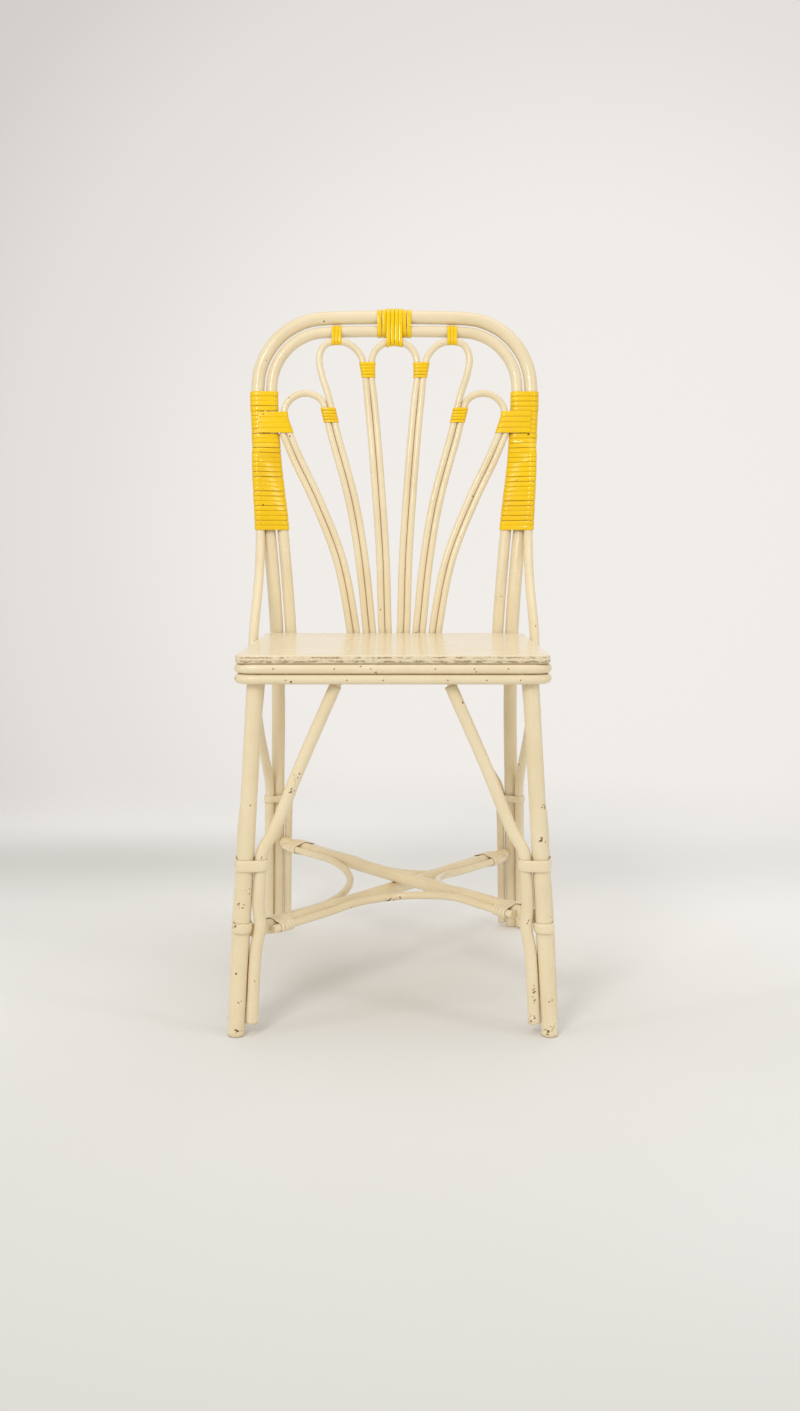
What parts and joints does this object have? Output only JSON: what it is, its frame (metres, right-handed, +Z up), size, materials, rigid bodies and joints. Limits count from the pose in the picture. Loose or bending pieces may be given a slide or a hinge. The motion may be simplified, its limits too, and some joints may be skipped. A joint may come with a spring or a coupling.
{
  "type": "cane side chair",
  "caption": "Bent cane side chair with a fan of looped canes in a hoop back, a plywood seat, braced legs, a crossed stretcher and wound yellow bindings",
  "frame": {"origin": "centre of the chair's footprint box, on the floor", "axes": "+Z up, -Y is the front of the seat, +X to the right of someone facing the chair's front"},
  "size_m": [0.4096, 0.4876, 0.8975],
  "materials": {
    "cream_enamel": "gloss enamel over cane, chipped",
    "yellow_enamel": "gloss enamel over wound cane strip"
  },
  "bodies": {
    "root": {"arm_wrap_left": "yellow_enamel", "arm_wrap_right": "yellow_enamel", "center_tie": "yellow_enamel", "center_wrap": "yellow_enamel", "fan_far_loop_left": "cream_enamel", "fan_far_loop_right": "cream_enamel", "fan_loop_center": "cream_enamel", "fan_loop_left": "cream_enamel", "fan_loop_right": "cream_enamel", "fan_stay_left": "cream_enamel", "fan_stay_right": "cream_enamel", "fan_tie_lower_left": "yellow_enamel", "fan_tie_lower_right": "yellow_enamel", "fan_tie_upper_left": "yellow_enamel", "fan_tie_upper_right": "yellow_enamel", "front_brace_left": "cream_enamel", "front_brace_right": "cream_enamel", "front_leg_left": "cream_enamel", "front_leg_right": "cream_enamel", "front_rail": "cream_enamel", "inner_hoop": "cream_enamel", "leg_band_left": "cream_enamel", "leg_band_right": "cream_enamel", "leg_ring_left": "cream_enamel", "leg_ring_right": "cream_enamel", "loop_tie_left": "yellow_enamel", "loop_tie_right": "yellow_enamel", "outer_hoop": "cream_enamel", "rear_band_left": "cream_enamel", "rear_band_right": "cream_enamel", "rear_brace_left": "cream_enamel", "rear_brace_right": "cream_enamel", "rear_rail": "cream_enamel", "seat_board": "cream_enamel", "seat_rim_lower": "cream_enamel", "seat_rim_upper": "cream_enamel", "side_bow_left": "cream_enamel", "side_bow_right": "cream_enamel", "side_brace_left": "cream_enamel", "side_brace_right": "cream_enamel", "side_rail_left": "cream_enamel", "side_rail_right": "cream_enamel", "side_wrap_lower_left": "yellow_enamel", "side_wrap_lower_right": "yellow_enamel", "side_wrap_middle_left": "yellow_enamel", "side_wrap_middle_right": "yellow_enamel", "side_wrap_upper_left": "yellow_enamel", "side_wrap_upper_right": "yellow_enamel", "stretcher_arc_front": "cream_enamel", "stretcher_arc_left": "cream_enamel", "stretcher_arc_rear": "cream_enamel", "stretcher_arc_right": "cream_enamel", "stretcher_lower": "cream_enamel", "stretcher_tie_front_left": "cream_enamel", "stretcher_tie_front_right": "cream_enamel", "stretcher_tie_rear_left": "cream_enamel", "stretcher_tie_rear_right": "cream_enamel", "stretcher_upper": "cream_enamel"}
  },
  "joints": []
}
